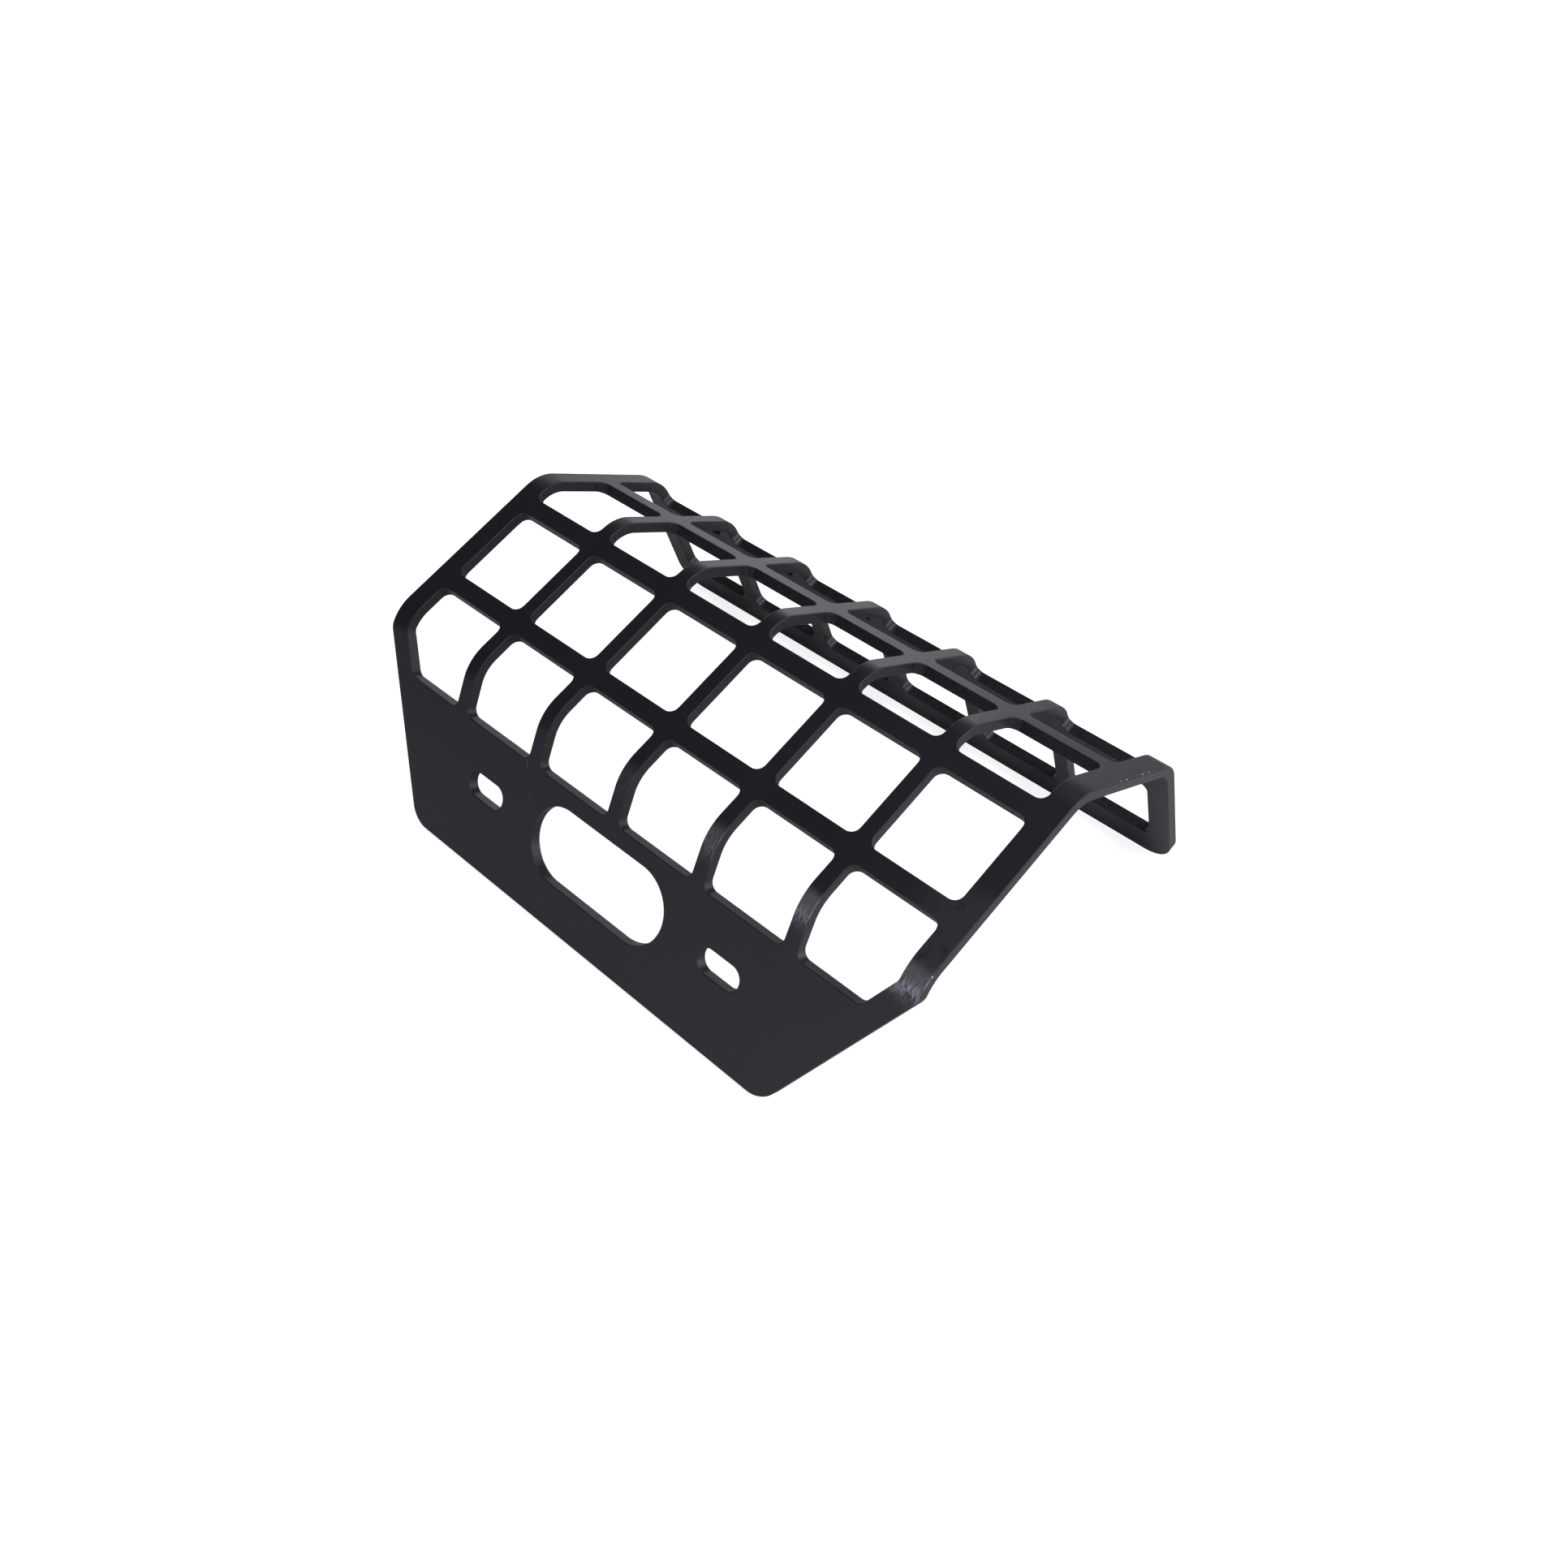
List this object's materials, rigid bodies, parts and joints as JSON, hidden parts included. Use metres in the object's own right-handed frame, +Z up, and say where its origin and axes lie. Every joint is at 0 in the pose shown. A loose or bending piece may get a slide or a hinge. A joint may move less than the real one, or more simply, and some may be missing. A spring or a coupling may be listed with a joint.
{
  "type": "headache rack",
  "caption": "Guard plate cut to a grid of openings and folded three times, with a line opening and two bolt slots in its solid lower plate.",
  "frame": {"origin": "centre of the footprint, on the surface that the rack stands on", "axes": "+X to the right along the folds, seen from the mounting plate's side, +Y to the rear, from the mounting plate to the rear bar, +Z up, with the rack standing on the lower edges of the mounting plate and the rear bar"},
  "size_m": [0.267, 0.1906, 0.093],
  "materials": {
    "black_coat": "satin black coat over steel plate, worn brighter along the outside of the lowest fold"
  },
  "bodies": {
    "root": {"mounting_plate": "black_coat", "front_lower_rail_1": "black_coat", "front_lower_rail_2": "black_coat", "front_lower_rail_3": "black_coat", "front_lower_rail_4": "black_coat", "front_lower_rail_5": "black_coat", "front_lower_rail_6": "black_coat", "front_upper_rail_1": "black_coat", "front_upper_rail_2": "black_coat", "front_upper_rail_3": "black_coat", "front_upper_rail_4": "black_coat", "front_upper_rail_5": "black_coat", "front_upper_rail_6": "black_coat", "top_rail_1": "black_coat", "top_rail_2": "black_coat", "top_rail_3": "black_coat", "top_rail_4": "black_coat", "top_rail_5": "black_coat", "top_rail_6": "black_coat", "rear_bar": "black_coat", "rear_rail_1": "black_coat", "rear_rail_2": "black_coat", "rear_rail_3": "black_coat", "rear_rail_4": "black_coat", "rear_rail_5": "black_coat", "rear_rail_6": "black_coat", "rib_1": "black_coat", "rib_2": "black_coat", "rib_3": "black_coat", "rib_4": "black_coat", "rib_5": "black_coat", "end_rib_left": "black_coat", "end_rib_right": "black_coat"}
  },
  "joints": []
}
